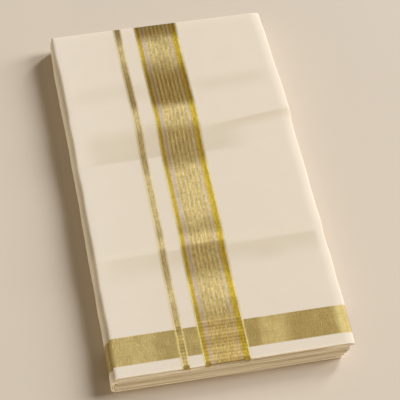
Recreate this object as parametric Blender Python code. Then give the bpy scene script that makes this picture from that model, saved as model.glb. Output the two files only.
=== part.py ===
"""A folded dhoti: one length of white cotton, folded into a flat pack.

Metres, +Z up.  X runs across the pack.  Y runs along it, away from the end where the
selvedges lie.  The pack rests on Z = 0, with the origin under the middle of its box.

The cloth's width is folded in four, and that strip is then folded to and fro along its
length.  A wall here is one thickness of that strip: four plies of cotton.  A leaf is two
walls joined by a fold.
"""
import math
from collections import namedtuple

import bmesh
import bpy

MM = 0.001

# The cloth, and how it is folded
CLOTH_WIDTH = 1270 * MM
PLIES_IN_STRIP = 4
PACK_LENGTH = CLOTH_WIDTH / PLIES_IN_STRIP
PACK_HEIGHT = 21.0 * MM
WALL = 1.2 * MM                 # four plies, with the air between them
PLY_GAP = 0.3 * MM              # between the two walls of one leaf
LEAF_GAP = 0.55 * MM             # between two leaves
LEAF = 2 * WALL + PLY_GAP
FOLD_RADIUS = (WALL + PLY_GAP) / 2

# Where the left and right edges of the top leaf lie, measured from its front left corner,
# and how far left the leaf wrapped round the pack bulges below it
Edge = namedtuple("Edge", "along left right wrap")
EDGES = (
    Edge(0.0 * MM, -0.6 * MM, 186.0 * MM, -4.7 * MM),
    Edge(12.0 * MM, -0.8 * MM, 186.0 * MM, -4.5 * MM),
    Edge(40.0 * MM, 0.2 * MM, 185.8 * MM, -4.1 * MM),
    Edge(110.0 * MM, 0.1 * MM, 183.6 * MM, -3.9 * MM),
    Edge(165.0 * MM, 0.6 * MM, 182.6 * MM, -3.4 * MM),
    Edge(206.0 * MM, 0.3 * MM, 182.0 * MM, -3.4 * MM),
    Edge(231.0 * MM, 0.3 * MM, 182.1 * MM, -3.5 * MM),
    Edge(258.0 * MM, 0.4 * MM, 180.2 * MM, -3.7 * MM),
    Edge(288.0 * MM, -0.2 * MM, 178.6 * MM, -4.1 * MM),
    Edge(PACK_LENGTH, -1.0 * MM, 176.7 * MM, -2.9 * MM),
)

# Soft steps across the top, each a crease pressed into the pack: where it meets the left
# and right edges, how far the cloth drops there towards the front, and how wide the step
# is on its back and front sides
Crease = namedtuple("Crease", "left right left_drop right_drop back_width front_width")
CREASES = (
    Crease(259 * MM, 256 * MM, 0.8 * MM, 1.0 * MM, 13 * MM, 8 * MM),
    Crease(217 * MM, 213 * MM, 0.3 * MM, 1.2 * MM, 1.8 * MM, 8 * MM),
    Crease(190 * MM, 197 * MM, 1.4 * MM, 0.3 * MM, 13 * MM, 1.6 * MM),
    Crease(104 * MM, 107 * MM, 0.9 * MM, 1.3 * MM, 1.8 * MM, 12 * MM),
    Crease(91 * MM, 96 * MM, 0.5 * MM, 0.1 * MM, 7 * MM, 1.6 * MM),
    Crease(46 * MM, 45 * MM, 0.4 * MM, 0.4 * MM, 6 * MM, 6 * MM),
)

# How far the top rounds down towards its left, right and back folds
LEFT_ROUND, LEFT_DROP = 5.0 * MM, 0.9 * MM
RIGHT_ROUND, RIGHT_DROP = 9.0 * MM, 1.4 * MM
BACK_ROUND, BACK_DROP = 9.0 * MM, 0.8 * MM

# What lies below the top leaf: the wrap goes over, round the left of and under the rest
WRAP_RIGHT = 3.0 * MM           # how far it stops short of the top leaf's right edge
WRAP_FLOOR_RIGHT = 7.8 * MM     # the same, where it lies on the floor
BEND_DEPTH = 4.2 * MM
BEND_POWER = 3.2                # 2 is an ellipse, more is squarer
INNER_LEFT = 1.8 * MM            # between the wrap and the end of the inner leaf
INNER_RIGHT = 2.5 * MM
STACK_RIGHT = 3.2 * MM
STACK_LAYERS = 4
LAYER_GROOVE = 0.8 * MM
CORNER_ROUND = 1.0 * MM
STACK_BASE = LEAF + LEAF_GAP

# How the lower leaves stand out in front and behind, and how short a hidden wall stops
FRONT_REACH_LEFT, FRONT_REACH_RIGHT = 1.2 * MM, 1.7 * MM
TOP_BACK_REACH, WRAP_BACK_REACH = 1.0 * MM, 1.6 * MM
BACK_LEAN_HEIGHT = 0.8 * PACK_HEIGHT
TUCK = 1.8 * MM

# How finely the sections follow the form
CREASE_STEP = 4 * MM
ROW_LEAST, ROW_MOST = 3 * MM, 24 * MM
SLOT = 2.0 * MM                 # between the two ends of a leaf's wall, underneath it

# The middle of the pack's box, which becomes the origin
MIDDLE_ACROSS = (max(edge.right for edge in EDGES) + min(edge.wrap for edge in EDGES)) / 2
MIDDLE_ALONG = (PACK_LENGTH + WRAP_BACK_REACH - FRONT_REACH_RIGHT) / 2

COTTON = (0.80, 0.73, 0.62, 1.0)


def blend(low, high, share):
    return low + (high - low) * share


def evenly(low, high, count):
    return [blend(low, high, i / count) for i in range(count + 1)]


def edge_at(along, side):
    """One column of EDGES at any distance along the pack, on a smooth curve."""
    along = min(max(along, 0.0), PACK_LENGTH)
    last = len(EDGES) - 2
    index = next((i for i in range(last) if along <= EDGES[i + 1].along), last)
    near, far = EDGES[index], EDGES[index + 1]
    before, after = EDGES[max(index - 1, 0)], EDGES[min(index + 2, last + 1)]
    span = far.along - near.along
    share = (along - near.along) / span

    def slope(first, second):
        return (getattr(second, side) - getattr(first, side)) / (second.along - first.along)

    start, end = slope(before, far) * span, slope(near, after) * span
    a, b = getattr(near, side), getattr(far, side)
    square, cube = share ** 2, share ** 3
    return (a * (2 * cube - 3 * square + 1) + start * (cube - 2 * square + share)
            + b * (3 * square - 2 * cube) + end * (cube - square))


def soft_step(distance, back_width, front_width):
    """Rises from 0 in front of a crease to 1 behind it, steeper on its narrow side."""
    both = back_width + front_width
    if distance < 0:
        return front_width * math.exp(distance / front_width) / both
    return 1 - back_width * math.exp(-distance / back_width) / both


def rounding(distance, width, drop):
    """How far a surface has dropped at this distance from a rounded edge."""
    return drop * max(0.0, 1 - distance / width) ** 2


def top_height(across, along):
    """Height of the top of the pack above the floor."""
    left, right = edge_at(along, "left"), edge_at(along, "right")
    share = (across - left) / (right - left)
    height = PACK_HEIGHT
    for crease in CREASES:
        drop = blend(crease.left_drop, crease.right_drop, share)
        place = blend(crease.left, crease.right, share)
        step = soft_step(along - place, crease.back_width, crease.front_width)
        height += drop * (step - along / PACK_LENGTH)
    height -= rounding(across - left, LEFT_ROUND, LEFT_DROP)
    height -= rounding(right - across, RIGHT_ROUND, RIGHT_DROP)
    return height - rounding(PACK_LENGTH - along, BACK_ROUND, BACK_DROP)


def row_places():
    """Distances along the pack of its sections, closer together at the creases."""
    steps = (-CREASE_STEP, 0.0, CREASE_STEP)
    ends = [0.0, 8 * MM, PACK_LENGTH - BACK_ROUND, PACK_LENGTH - BACK_ROUND / 2, PACK_LENGTH]
    wanted = sorted(ends + [crease.left + step for crease in CREASES for step in steps])
    places = [wanted[0]]
    for place in wanted[1:]:
        gap = place - places[-1]
        if gap < ROW_LEAST and place < PACK_LENGTH:
            continue
        fill = max(1, math.ceil(gap / ROW_MOST))
        places += [places[-1] + gap / fill * (step + 1) for step in range(fill)]
    return places


def skewed(place, share):
    """A point of a section, which is turned to run along the creases."""
    known = [(0.0, 0.0)] + sorted((c.left, c.right - c.left) for c in CREASES)
    known.append((PACK_LENGTH, 0.0))
    for (low, skew_low), (high, skew_high) in zip(known, known[1:]):
        if place <= high:
            return place + share * blend(skew_low, skew_high, (place - low) / (high - low))
    return place


def front_end(height, share):
    """Where the pack's front edge lies, at this height and share of the way across."""
    reach = blend(FRONT_REACH_LEFT, FRONT_REACH_RIGHT, 1 - (1 - min(max(share, 0.0), 1.0)) ** 2)
    return -reach * (1 - min(max(height, 0.0) / PACK_HEIGHT, 1.0) ** 1.5)


def framed(across, place, height, back_reach, short=0.0):
    """Frame coordinates of a point of a section, stretched to reach the pack's two ends."""
    share = min(max(across / edge_at(place, "right"), 0.0), 1.0)
    start = front_end(height, share) + short
    end = PACK_LENGTH + back_reach * min(height / BACK_LEAN_HEIGHT, 1.0) - short / 2
    along = blend(start, end, skewed(place, share) / PACK_LENGTH)
    return (across - MIDDLE_ACROSS, along - MIDDLE_ALONG, height)


def height_at(across, place):
    return top_height(across, skewed(place, across / edge_at(place, "right")))


def material(name, colour):
    mat = bpy.data.materials.new(name)
    mat.use_nodes = True
    shader = mat.node_tree.nodes["Principled BSDF"]
    shader.inputs["Base Color"].default_value = colour
    shader.inputs["Roughness"].default_value = 0.85
    shader.inputs["Metallic"].default_value = 0.0
    return mat


def add_object(name, bm):
    bmesh.ops.recalc_face_normals(bm, faces=bm.faces)
    mesh = bpy.data.meshes.new(name)
    bm.to_mesh(mesh)
    bm.free()
    mesh.shade_smooth()
    mesh.set_sharp_from_angle(angle=math.radians(40))
    mesh.materials.append(material(name, COTTON))
    obj = bpy.data.objects.new(name, mesh)
    bpy.context.collection.objects.link(obj)
    return obj


def cloth_wall(name, sections):
    """A sheet through the middle of the cloth, given its thickness by Solidify."""
    columns, rows = len(sections[0]) - 1, len(sections) - 1
    bm = bmesh.new()
    bmesh.ops.create_grid(bm, x_segments=columns, y_segments=rows, size=0.5)
    for vert in bm.verts:
        column, row = round((vert.co.x + 0.5) * columns), round((vert.co.y + 0.5) * rows)
        vert.co = sections[row][column]
    obj = add_object(name, bm)
    wall = obj.modifiers.new("wall", "SOLIDIFY")
    wall.thickness = WALL
    wall.offset = 0.0
    wall.use_even_offset = True
    return obj


def leaf_section(place, spine, fold_steps, back_reach, slot=None):
    """Middle of a leaf's wall, which runs FOLD_RADIUS to each side of a spine.

    The outer wall is to the left of the spine's direction.  The leaf is folded at the
    spine's end.  With a slot, the number of a spine point, it is folded at its start
    too, and the wall's two ends meet at the slot.
    """
    last = len(spine) - 1

    def around(index, angle):
        """From 0 on the outer wall to pi on the inner, past the end that is ahead."""
        (x0, z0), (x1, z1) = spine[max(index - 1, 0)], spine[min(index + 1, last)]
        length = math.hypot(x1 - x0, z1 - z0)
        ahead_x, ahead_z = (x1 - x0) / length, (z1 - z0) / length
        out, ahead = FOLD_RADIUS * math.cos(angle), FOLD_RADIUS * math.sin(angle)
        across = spine[index][0] - ahead_z * out + ahead_x * ahead
        height = spine[index][1] + ahead_x * out + ahead_z * ahead
        return framed(across, place, height, back_reach, TUCK * (1 - math.cos(angle)) / 2)

    turn = [math.pi * step / fold_steps for step in range(fold_steps + 1)]
    outer = [(i, 0.0) for i in range(1, last)]
    end_fold = [(last, angle) for angle in turn]
    if slot is None:
        path = [(0, 0.0)] + outer + end_fold + [(i, math.pi) for i in range(last - 1, -1, -1)]
    else:
        start_fold = [(0, angle - math.pi) for angle in turn]
        path = [(i, math.pi) for i in range(slot, 0, -1)] + start_fold + outer + end_fold
        path += [(i, math.pi) for i in range(last - 1, slot, -1)]
    return [around(index, angle) for index, angle in path]


def places_across(place, first, last, steps):
    """Places across a leaf's flat, closer together where its two sides round down."""
    low, high = edge_at(place, "left") + LEFT_ROUND, edge_at(place, "right") - RIGHT_ROUND
    near, far = blend(first, low, 0.5), blend(high, last, 0.5)
    return [first, near] + evenly(low, high, steps) + [far, last]


def flat_leaf(name, depth, ends, flat_steps, fold_steps, back_reach):
    """A leaf that lies flat, at this depth below the pack's top, folded at both sides."""
    slot = 2 + flat_steps // 3
    sections = []
    for place in row_places():
        left, right = ends(place)
        places = places_across(place, left + LEAF / 2, right - LEAF / 2, flat_steps)
        places[slot:slot + 1] = [places[slot] - SLOT / 2, places[slot] + SLOT / 2]
        spine = [(x, height_at(x, place) - depth - LEAF / 2) for x in places]
        sections.append(leaf_section(place, spine, fold_steps, back_reach, slot))
    return cloth_wall(name, sections)


def bend_reach(rise):
    """How far a wrap's bend stands out, from 0 at its flat walls to 1, at this rise."""
    return (1 - min(abs(rise), 1.0) ** BEND_POWER) ** (1 / BEND_POWER)


def wrapped_leaf(name, flat_steps, bend_steps, fold_steps):
    """The leaf that goes under, round the left of and over the hidden layers."""
    depth = LEAF + LEAF_GAP
    sections = []
    for place in row_places():
        right = edge_at(place, "right")
        centre = edge_at(place, "wrap") + LEAF / 2 + BEND_DEPTH
        flat = places_across(place, centre, right - WRAP_RIGHT - LEAF / 2, flat_steps)
        over = [(x, height_at(x, place) - depth - LEAF / 2) for x in flat]
        under = [(x, LEAF / 2) for x in (right - WRAP_FLOOR_RIGHT, blend(centre, right, 0.5), centre)]
        middle, half = (over[0][1] + LEAF / 2) / 2, (over[0][1] - LEAF / 2) / 2
        bend = []
        for step in range(1, bend_steps):
            tall = -math.cos(math.pi * step / bend_steps)
            rise = math.copysign(abs(tall) ** (2 / BEND_POWER), tall)
            bend.append((centre - BEND_DEPTH * bend_reach(rise), middle + half * rise))
        spine = under + bend + over
        sections.append(leaf_section(place, spine, fold_steps, WRAP_BACK_REACH))
    return cloth_wall(name, sections)


def inner_depth():
    """Depth below the pack's top of what lies inside the wrap."""
    return 2 * (LEAF + LEAF_GAP)


def stack_point(place, share, level):
    """A point of the hidden layers: level is 0 at the bottom and 1 at the top."""
    right = edge_at(place, "right")
    centre = edge_at(place, "wrap") + LEAF / 2 + BEND_DEPTH
    depth = BEND_DEPTH - LEAF / 2 - LEAF_GAP
    groove = LAYER_GROOVE * (round(level * 2 * STACK_LAYERS) % 2 == 0)
    corner = CORNER_ROUND * (place in (0.0, PACK_LENGTH))
    left_end = centre - depth * bend_reach(0.95 * (1 - level)) + corner
    right_end = right - blend(WRAP_FLOOR_RIGHT, STACK_RIGHT, level ** 0.6) - groove - corner
    across = blend(left_end, right_end, share)
    top = height_at(across, place) - inner_depth() - LEAF - LEAF_GAP
    return framed(across, place, blend(STACK_BASE, top, level), WRAP_BACK_REACH, groove)


def layered_stack(name, columns):
    """Grown upwards from its flat underside, two steps to a layer: out, then in."""
    places = row_places()
    bm = bmesh.new()
    bmesh.ops.create_grid(bm, x_segments=columns, y_segments=len(places) - 1, size=0.5)
    column_of, row_of = bm.verts.layers.int.new("column"), bm.verts.layers.int.new("row")
    for vert in bm.verts:
        vert[column_of] = round((vert.co.x + 0.5) * columns)
        vert[row_of] = round((vert.co.y + 0.5) * (len(places) - 1))

    def settle(verts, level):
        for vert in verts:
            vert.co = stack_point(places[vert[row_of]], vert[column_of] / columns, level)

    settle(bm.verts, 0.0)
    sheet = bm.faces[:]
    steps = 2 * STACK_LAYERS
    for step in range(1, steps + 1):
        below = sheet
        grown = bmesh.ops.extrude_face_region(bm, geom=below)["geom"]
        sheet = [item for item in grown if isinstance(item, bmesh.types.BMFace)]
        settle([item for item in grown if isinstance(item, bmesh.types.BMVert)], step / steps)
        if step > 1:
            bmesh.ops.delete(bm, geom=below, context="FACES")
    return add_object(name, bm)


def top_ends(place):
    return edge_at(place, "left"), edge_at(place, "right")


def inner_ends(place):
    left = edge_at(place, "wrap") + LEAF + LEAF_GAP + INNER_LEFT
    return left, edge_at(place, "right") - INNER_RIGHT


for old in list(bpy.data.objects):
    bpy.data.objects.remove(old, do_unlink=True)

flat_leaf("top_leaf", 0.0, top_ends, 6, 6, TOP_BACK_REACH)
wrapped_leaf("outer_wrap", 3, 8, 4)
flat_leaf("inner_leaf", inner_depth(), inner_ends, 3, 4, WRAP_BACK_REACH)
layered_stack("inner_stack", 3)
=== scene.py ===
# %% [markdown]
# # A folded dhoti
# A dhoti is one long, plain length of fine cotton with gold thread woven into it. This one
# is folded for the shelf: the width is folded in four, and that strip is then folded to and
# fro until it is a flat pack about as big as a book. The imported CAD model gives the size
# and place of every leaf, and this script dresses it in real cloth.

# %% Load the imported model
import math
from collections import namedtuple

import bmesh
import bpy
from mathutils import Euler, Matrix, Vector, noise


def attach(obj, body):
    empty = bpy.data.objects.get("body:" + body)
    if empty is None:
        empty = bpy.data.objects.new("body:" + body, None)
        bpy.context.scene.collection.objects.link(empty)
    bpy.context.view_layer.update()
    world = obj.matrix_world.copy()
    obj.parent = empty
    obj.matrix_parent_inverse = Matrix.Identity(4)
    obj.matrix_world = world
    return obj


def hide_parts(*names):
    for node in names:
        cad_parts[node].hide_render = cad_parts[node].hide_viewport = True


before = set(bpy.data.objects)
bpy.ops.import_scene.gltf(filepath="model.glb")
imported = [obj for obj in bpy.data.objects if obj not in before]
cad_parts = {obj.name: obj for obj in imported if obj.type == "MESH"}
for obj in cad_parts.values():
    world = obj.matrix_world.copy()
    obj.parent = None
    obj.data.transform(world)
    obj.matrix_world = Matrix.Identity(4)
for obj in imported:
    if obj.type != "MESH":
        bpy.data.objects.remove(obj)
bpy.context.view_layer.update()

print("CAD nodes:", sorted(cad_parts))

# %% [markdown]
# ## Camera
# The pack is seen from above its front left, from about a metre and a half away. A long
# lens keeps its edges almost parallel.

# %% Camera


def new_object(name, data):
    made = bpy.data.objects.new(name, data)
    bpy.context.collection.objects.link(made)
    return made


camera = new_object("camera", bpy.data.cameras.new("camera"))
camera.data.lens, camera.data.sensor_width = 160.1, 36.0
camera.location = (-0.19885, -0.7099, 1.2464)
camera.rotation_euler = Euler([math.radians(angle) for angle in (30.397, -2.997, -10.987)])
bpy.context.scene.camera = camera
print("camera distance, m:", round(camera.location.length, 2))

# %% [markdown]
# ## Light
# Two tall soft boxes stand a third of the way up, on the right. The wider one throws the
# soft shadow on the left. The narrower one, behind it, rakes over the creases and keeps a
# short shadow in front. Nearly all the light on the table comes from these two, so shadows
# are deep. A warm one, very low at the front left, reaches the layered sides and hardly the
# table. The rest is a dim, warm surround, which tints the shadows brown.

# %% Soft boxes and surround
LIGHT_DISTANCE = 8.0
COOL_WHITE, WARM_WHITE = (0.965, 1.0, 1.05), (1.0, 0.945, 0.765)
SURROUND_COLOUR, SURROUND_STRENGTH = (1.0, 0.83, 0.62, 1.0), 0.21


def soft_box(name, direction, width, height, watts, colour):
    data = bpy.data.lights.new(name, "AREA")
    data.shape, data.size, data.size_y, data.energy = "RECTANGLE", width, height, watts
    data.color = colour
    light = new_object(name, data)
    light.location = direction.normalized() * LIGHT_DISTANCE
    light.rotation_euler = direction.to_track_quat("Z", "Y").to_euler()


soft_box("wide_light", Vector((0.820, 0.116, 0.540)), 2.5, 5.0, 541.0, COOL_WHITE)
soft_box("tall_light", Vector((0.600, 0.480, 0.560)), 1.3, 3.6, 348.0, COOL_WHITE)
soft_box("side_fill", Vector((-0.430, -0.900, 0.025)), 4.0, 0.5, 420.0, WARM_WHITE)

world = bpy.data.worlds.new("surround")
world.use_nodes = True
background = world.node_tree.nodes["Background"]
background.inputs["Color"].default_value = SURROUND_COLOUR
background.inputs["Strength"].default_value = SURROUND_STRENGTH
bpy.context.scene.world = world
bpy.context.scene.view_settings.view_transform = "Standard"
print("lights:", [light.name for light in bpy.data.lights])

# %% [markdown]
# ## Colours and nodes
# Colours are chosen as on a screen, in sRGB hex, and Blender wants them linear, so one
# function turns them. One more adds a node with its settings and links, so that a material
# reads as a short list of steps.

# %% Colour and node helpers
MM = 0.001
MATHS, RANGE = "ShaderNodeMath", "ShaderNodeMapRange"
NOISE, MIX = "ShaderNodeTexNoise", "ShaderNodeMix"
TIMES, TIMES_PLUS = {"operation": "MULTIPLY"}, {"operation": "MULTIPLY_ADD"}
COLOURS, MULTIPLIED = {"data_type": "RGBA"}, {"data_type": "RGBA", "blend_type": "MULTIPLY"}
WHITE = (1.0, 1.0, 1.0, 1.0)


def linear(hex_colour):
    channels = [int(hex_colour[i:i + 2], 16) / 255 for i in (1, 3, 5)]
    return tuple(c / 12.92 if c <= 0.04045 else ((c + 0.055) / 1.055) ** 2.4
                 for c in channels) + (1.0,)


def add(tree, kind, *sources, **settings):
    """Adds a node and gives its first output in use, whose .node is the node itself.

    The inputs in use take the sources in order: a socket is linked, and a number is set.
    """
    node = tree.nodes.new(kind)
    for name, value in settings.items():
        setattr(node, name, value)
    used = [socket for socket in node.inputs if socket.enabled]
    for socket, source in zip(used, sources):
        if isinstance(source, bpy.types.NodeSocket):
            tree.links.new(source, socket)
        else:
            socket.default_value = source
    return next(socket for socket in node.outputs if socket.enabled)


def new_material(name):
    material = bpy.data.materials.new(name)
    material.use_nodes = True
    return material, material.node_tree, material.node_tree.nodes["Principled BSDF"]


print("cream, linear:", [round(c, 3) for c in linear("#E8DAC4")[:3]])

# %% [markdown]
# ## Floor
# A plain pale table, matt, with a faint unevenness so that it isn't a flat colour.

# %% Floor
FLOOR_SIZE = 6.0
FLOOR_CLOUD = 110 * MM
FLOOR_LOW, FLOOR_HIGH = "#D9CBB8", "#DBCDBA"


def mesh_object(name, bm):
    mesh = bpy.data.meshes.new(name)
    bm.to_mesh(mesh)
    bm.free()
    return new_object(name, mesh)


bm = bmesh.new()
bmesh.ops.create_grid(bm, x_segments=1, y_segments=1, size=FLOOR_SIZE / 2)
floor = mesh_object("floor", bm)

floor_material, tree, shader = new_material("matt_painted_table")
place = add(tree, "ShaderNodeTexCoord").node.outputs["Object"]
cloudy = add(tree, NOISE, place, 1 / FLOOR_CLOUD, 3.0)
tone = add(tree, MIX, cloudy, linear(FLOOR_LOW), linear(FLOOR_HIGH), **COLOURS)
tree.links.new(tone, shader.inputs["Base Color"])
shader.inputs["Roughness"].default_value = 0.8
floor.data.materials.append(floor_material)
print("floor, m:", FLOOR_SIZE)

# %% [markdown]
# ## The form of the pack
# The same named sizes as in the CAD model give the form: where the top leaf's edges lie,
# where creases step down across it, and how the edges round over. A crease is not a line
# but a soft step, steeper on one side, because the leaves under it end or fold there.

# %% Sizes of the pack
LENGTH_MM = 317.5
PACK_LENGTH = LENGTH_MM * MM
PACK_HEIGHT = 21.0 * MM
PLY_GAP = 0.45 * MM
LEAF = 2.7 * MM
LEAF_GAP = 0.55 * MM

Edge = namedtuple("Edge", "along left right wrap")
EDGES = [Edge(*(size * MM for size in row)) for row in (
    (0, -0.6, 186, -4.7),
    (12, -0.8, 186, -4.5),
    (40, 0.2, 185.8, -4.1),
    (110, 0.1, 183.6, -3.9),
    (165, 0.6, 182.6, -3.4),
    (206, 0.3, 182, -3.4),
    (231, 0.3, 182.1, -3.5),
    (258, 0.4, 180.2, -3.7),
    (288, -0.2, 178.6, -4.1),
    (LENGTH_MM, -1, 176.7, -2.9),
)]
Crease = namedtuple("Crease", "left right left_drop right_drop back_width front_width")
CREASES = [Crease(*(size * MM for size in row)) for row in (
    (259, 256, 0.8, 1, 13, 8),
    (217, 213, 0.3, 1.2, 1.8, 8),
    (190, 197, 1.4, 0.3, 13, 1.6),
    (104, 107, 0.9, 1.3, 1.8, 12),
    (91, 96, 0.5, 0.1, 7, 1.6),
    (46, 45, 0.4, 0.4, 6, 6),
)]
CREASE_DEEPER = 2.0              # real cloth creases deeper than the plain CAD solid
LEFT_ROUND, LEFT_DROP = 2.5 * MM, 0.4 * MM
RIGHT_ROUND, RIGHT_DROP = 9.0 * MM, 1.4 * MM
BACK_ROUND, BACK_DROP = 9.0 * MM, 0.8 * MM
FRONT_REACH_LEFT, FRONT_REACH_RIGHT = 1.2 * MM, 1.7 * MM
TOP_BACK_REACH, WRAP_BACK_REACH = 1.0 * MM, 1.6 * MM
BACK_LEAN_HEIGHT = 0.8 * PACK_HEIGHT
WRAP_RIGHT, WRAP_FLOOR_RIGHT = 3.0 * MM, 7.8 * MM
BEND_DEPTH, BEND_POWER = 4.2 * MM, 3.2
INNER_LEFT, INNER_RIGHT = 1.8 * MM, 2.5 * MM
STACK_LEAVES, STACK_RIGHT = 3, 3.2 * MM
MIDDLE_ACROSS = (186.0 - 4.7) / 2 * MM
MIDDLE_ALONG = (PACK_LENGTH + WRAP_BACK_REACH - FRONT_REACH_RIGHT) / 2
print("creases, mm from the front:", [round(crease.left / MM) for crease in CREASES])

# %% [markdown]
# A smooth curve through the rows of the table gives an edge anywhere along the pack, and the
# height of the top is the sum of its creases, with the rounded edges taken off.

# %% Where the edges and the top lie
EDGE_WAVER, WAVER_LENGTH = 0.8 * MM, 19 * MM        # the folds aren't ruled lines
WAVERS = {"left": (1.0, 0.7), "right": (1.0, 4.3), "wrap": (0.5, 7.9)}     # its share, a seed


def blend(low, high, share):
    return low + (high - low) * share


def evenly(low, high, count):
    return [blend(low, high, i / count) for i in range(count + 1)]


def smooth_share(value, low, high):
    share = min(max((value - low) / (high - low), 0.0), 1.0)
    return share * share * (3 - 2 * share)


def edge_at(along, side):
    """One column of EDGES at any distance along the pack, on a smooth, wavering curve."""
    along = min(max(along, 0.0), PACK_LENGTH)
    last = len(EDGES) - 2
    index = next((i for i in range(last) if along <= EDGES[i + 1].along), last)
    near, far = EDGES[index], EDGES[index + 1]
    before, after = EDGES[max(index - 1, 0)], EDGES[min(index + 2, last + 1)]
    span = far.along - near.along
    share = (along - near.along) / span

    def slope(first, second):
        return (getattr(second, side) - getattr(first, side)) / (second.along - first.along)

    start, end = slope(before, far) * span, slope(near, after) * span
    a, b = getattr(near, side), getattr(far, side)
    square, cube = share ** 2, share ** 3
    share_of, seed = WAVERS[side]
    waver = EDGE_WAVER * share_of * noise.noise(Vector((along / WAVER_LENGTH, seed, 0.2)))
    return (waver + a * (2 * cube - 3 * square + 1) + start * (cube - 2 * square + share)
            + b * (3 * square - 2 * cube) + end * (cube - square))


def soft_step(distance, back_width, front_width):
    """Rises from 0 in front of a crease to 1 behind it, steeper on its narrow side."""
    both = back_width + front_width
    if distance < 0:
        return front_width * math.exp(distance / front_width) / both
    return 1 - back_width * math.exp(-distance / back_width) / both


def rounding(distance, width, drop):
    return drop * max(0.0, 1 - distance / width) ** 2


def top_height(across, along):
    left, right = edge_at(along, "left"), edge_at(along, "right")
    share = (across - left) / (right - left)
    height = PACK_HEIGHT
    for crease in CREASES:
        drop = CREASE_DEEPER * blend(crease.left_drop, crease.right_drop, share)
        middle = blend(crease.left, crease.right, share)
        step = soft_step(along - middle, crease.back_width, crease.front_width)
        height += drop * (step - along / PACK_LENGTH)
    height -= rounding(across - left, LEFT_ROUND, LEFT_DROP)
    height -= rounding(right - across, RIGHT_ROUND, RIGHT_DROP)
    return height - rounding(PACK_LENGTH - along, BACK_ROUND, BACK_DROP)


def skewed(place, share):
    """A point of a section, which is turned to run along the creases."""
    known = [(0.0, 0.0)] + sorted((c.left, c.right - c.left) for c in CREASES)
    known.append((PACK_LENGTH, 0.0))
    for (low, skew_low), (high, skew_high) in zip(known, known[1:]):
        if place <= high:
            return place + share * blend(skew_low, skew_high, (place - low) / (high - low))
    return place


def height_at(across, place):
    return top_height(across, skewed(place, across / edge_at(place, "right")))


print("top of the middle, mm:", round(top_height(90 * MM, 160 * MM) / MM, 2))

# %% [markdown]
# ## Where gold thread loses its painted shine
# Gold thread is bright where the cloth lies flat and dull where it tips towards the viewer,
# so the creases show on it far more than on the cotton. That shine is painted reflection,
# kept on the mesh as its lustre and painted into the gold's colour. Each row below is one
# such tipped zone: its two edges and how soft each one is, in millimetres, and how much of
# the painted shine is lost. Along the pack they follow the creases. The border has its own,
# across the pack, from slight waves that run the other way. The band isn't quite straight
# either, and sways a little from its line, in smooth steps and one bulge.

# %% Painted shine of the gold, and sway of the band
Tipped = namedtuple("Tipped", "start end start_soft end_soft loss")
TIPPED_ALONG = [Tipped(*row) for row in (
    (303.5, 340, 14, 1, 1.0),
    (237, 278, 10, 30, 1.0),
    (175, 217, 16, 16, 0.79),
    (112, 124, 8, 20, 0.57),
    (74, 102.5, 18, 4, 0.74),
    (-9, 54, 1, 22, 0.52),
)]
TIPPED_BORDER = [Tipped(*row) for row in (
    (-90, -1, 1, 5, 0.35),
    (33, 116, 18, 5, 0.45),
    (104, 115.5, 8, 3, 0.2),
    (100, 240, 30, 1, 0.28),
    (137, 177, 16, 8, 0.62),
    (180, 240, 6, 1, 0.72),
)]
BORDER_SHINE_END, BAND_SHINE_START = 34 * MM, 39 * MM
LINE_SHARE = 0.86                         # the thin line loses this much of what the band does
LINE_END, BAND_START = 58 * MM, 66 * MM
SHIFTS = ((0.7 * MM, 95 * MM, 118 * MM), (-0.45 * MM, 255 * MM, 282 * MM))     # right, from, to
BULGE, BULGE_MIDDLE, BULGE_LENGTH = 0.95 * MM, 226 * MM, 26 * MM


def shine_left(zones, place):
    shine = 1.0
    for zone in zones:
        half_in, half_out = zone.start_soft / 2, zone.end_soft / 2
        into = smooth_share(place, zone.start - half_in, zone.start + half_in)
        out = smooth_share(place, zone.end - half_out, zone.end + half_out)
        shine *= 1 - zone.loss * into * (1 - out)
    return shine


# Painted reflection: the share of the gold's painted shine that is left at this place.
def lustre(across, place):
    beyond = smooth_share(place, BORDER_SHINE_END, BAND_SHINE_START)
    loss = blend(LINE_SHARE, 1.0, smooth_share(across, LINE_END, BAND_START))
    band_shine = 1 - loss * (1 - shine_left(TIPPED_ALONG, place / MM))
    return blend(shine_left(TIPPED_BORDER, across / MM), band_shine, beyond)


def sway(along):
    """How far to the right the band has swayed here."""
    right = sum(shift * smooth_share(along, start, end) for shift, start, end in SHIFTS)
    return right + BULGE * math.exp(-((along - BULGE_MIDDLE) / BULGE_LENGTH) ** 2)


print("shine at the middle of each zone:",
      [round(shine_left(TIPPED_ALONG, (zone.start + zone.end) / 2), 2) for zone in TIPPED_ALONG])

# %% [markdown]
# Cotton lying in a crease is a little darker as well, because less light gets in there than
# on the flat. Each row below is a soft-edged patch of the top of the pack that lies in a
# crease, in millimetres: its sides and ends, how far it tilts, how soft each edge is, and how
# dark it gets. The last row covers all but the left fold, which lies open to the sky.

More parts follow.
